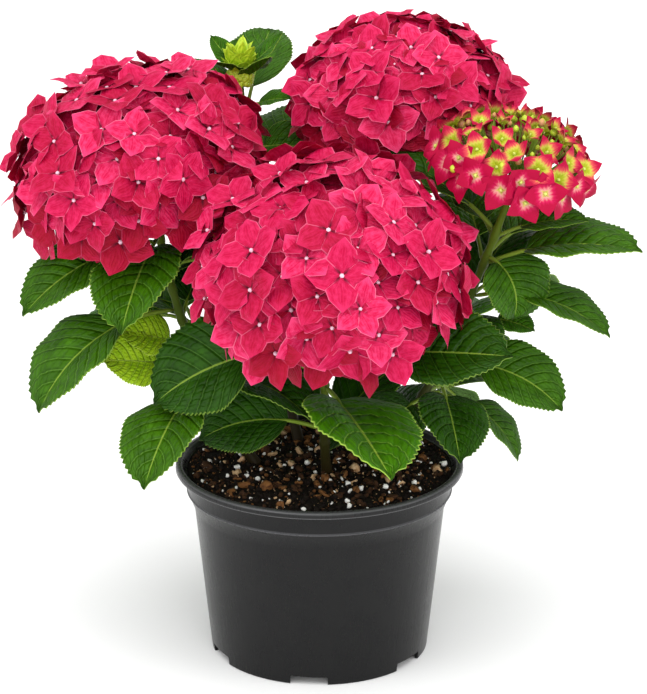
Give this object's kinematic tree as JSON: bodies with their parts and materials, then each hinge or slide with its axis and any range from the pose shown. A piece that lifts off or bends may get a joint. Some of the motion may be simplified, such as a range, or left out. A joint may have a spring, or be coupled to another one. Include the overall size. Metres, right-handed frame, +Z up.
{
  "type": "mophead hydrangea shrub in a nursery pot",
  "caption": "Young bigleaf hydrangea: leafy shoots with pink mophead flower heads, an immature head and a green bud, growing in a round black nursery pot.",
  "frame": {"origin": "centre of the pot's underside, where the pot stands on the ground", "axes": "+Z up along the pot's axis; -Y towards the front of the plant, where the largest flower head hangs over the rim; +X to the right seen from the front"},
  "size_m": [0.4282, 0.3774, 0.4326],
  "materials": {
    "pot_plastic": "injection-moulded polypropylene, black, satin",
    "potting_mix": "moist peat and composted bark with perlite, matt",
    "green_stem": "green young bark, satin",
    "leaf": "leaf with a waxy cuticle, semi-gloss",
    "sepal": "petal-like sepal, velvety matt pink",
    "young_sepal": "immature sepal, pink with a green-yellow eye",
    "bud": "unopened flower buds, yellow-green, matt"
  },
  "bodies": {
    "root": {"pot": "pot_plastic", "potting_mix": "potting_mix", "stem_front": "green_stem", "foliage_front": "leaf", "flower_front": "sepal", "stem_left": "green_stem", "foliage_left": "leaf", "flower_left": "sepal", "stem_right": "green_stem", "foliage_right": "leaf", "flower_right": "young_sepal", "stem_back": "green_stem", "foliage_back": "leaf", "flower_back": "sepal", "stem_bud": "green_stem", "foliage_bud": "leaf", "stem_side_back": "green_stem", "foliage_side_back": "leaf", "stem_side_right": "green_stem", "foliage_side_right": "leaf", "bud_cluster": "bud"}
  },
  "joints": []
}
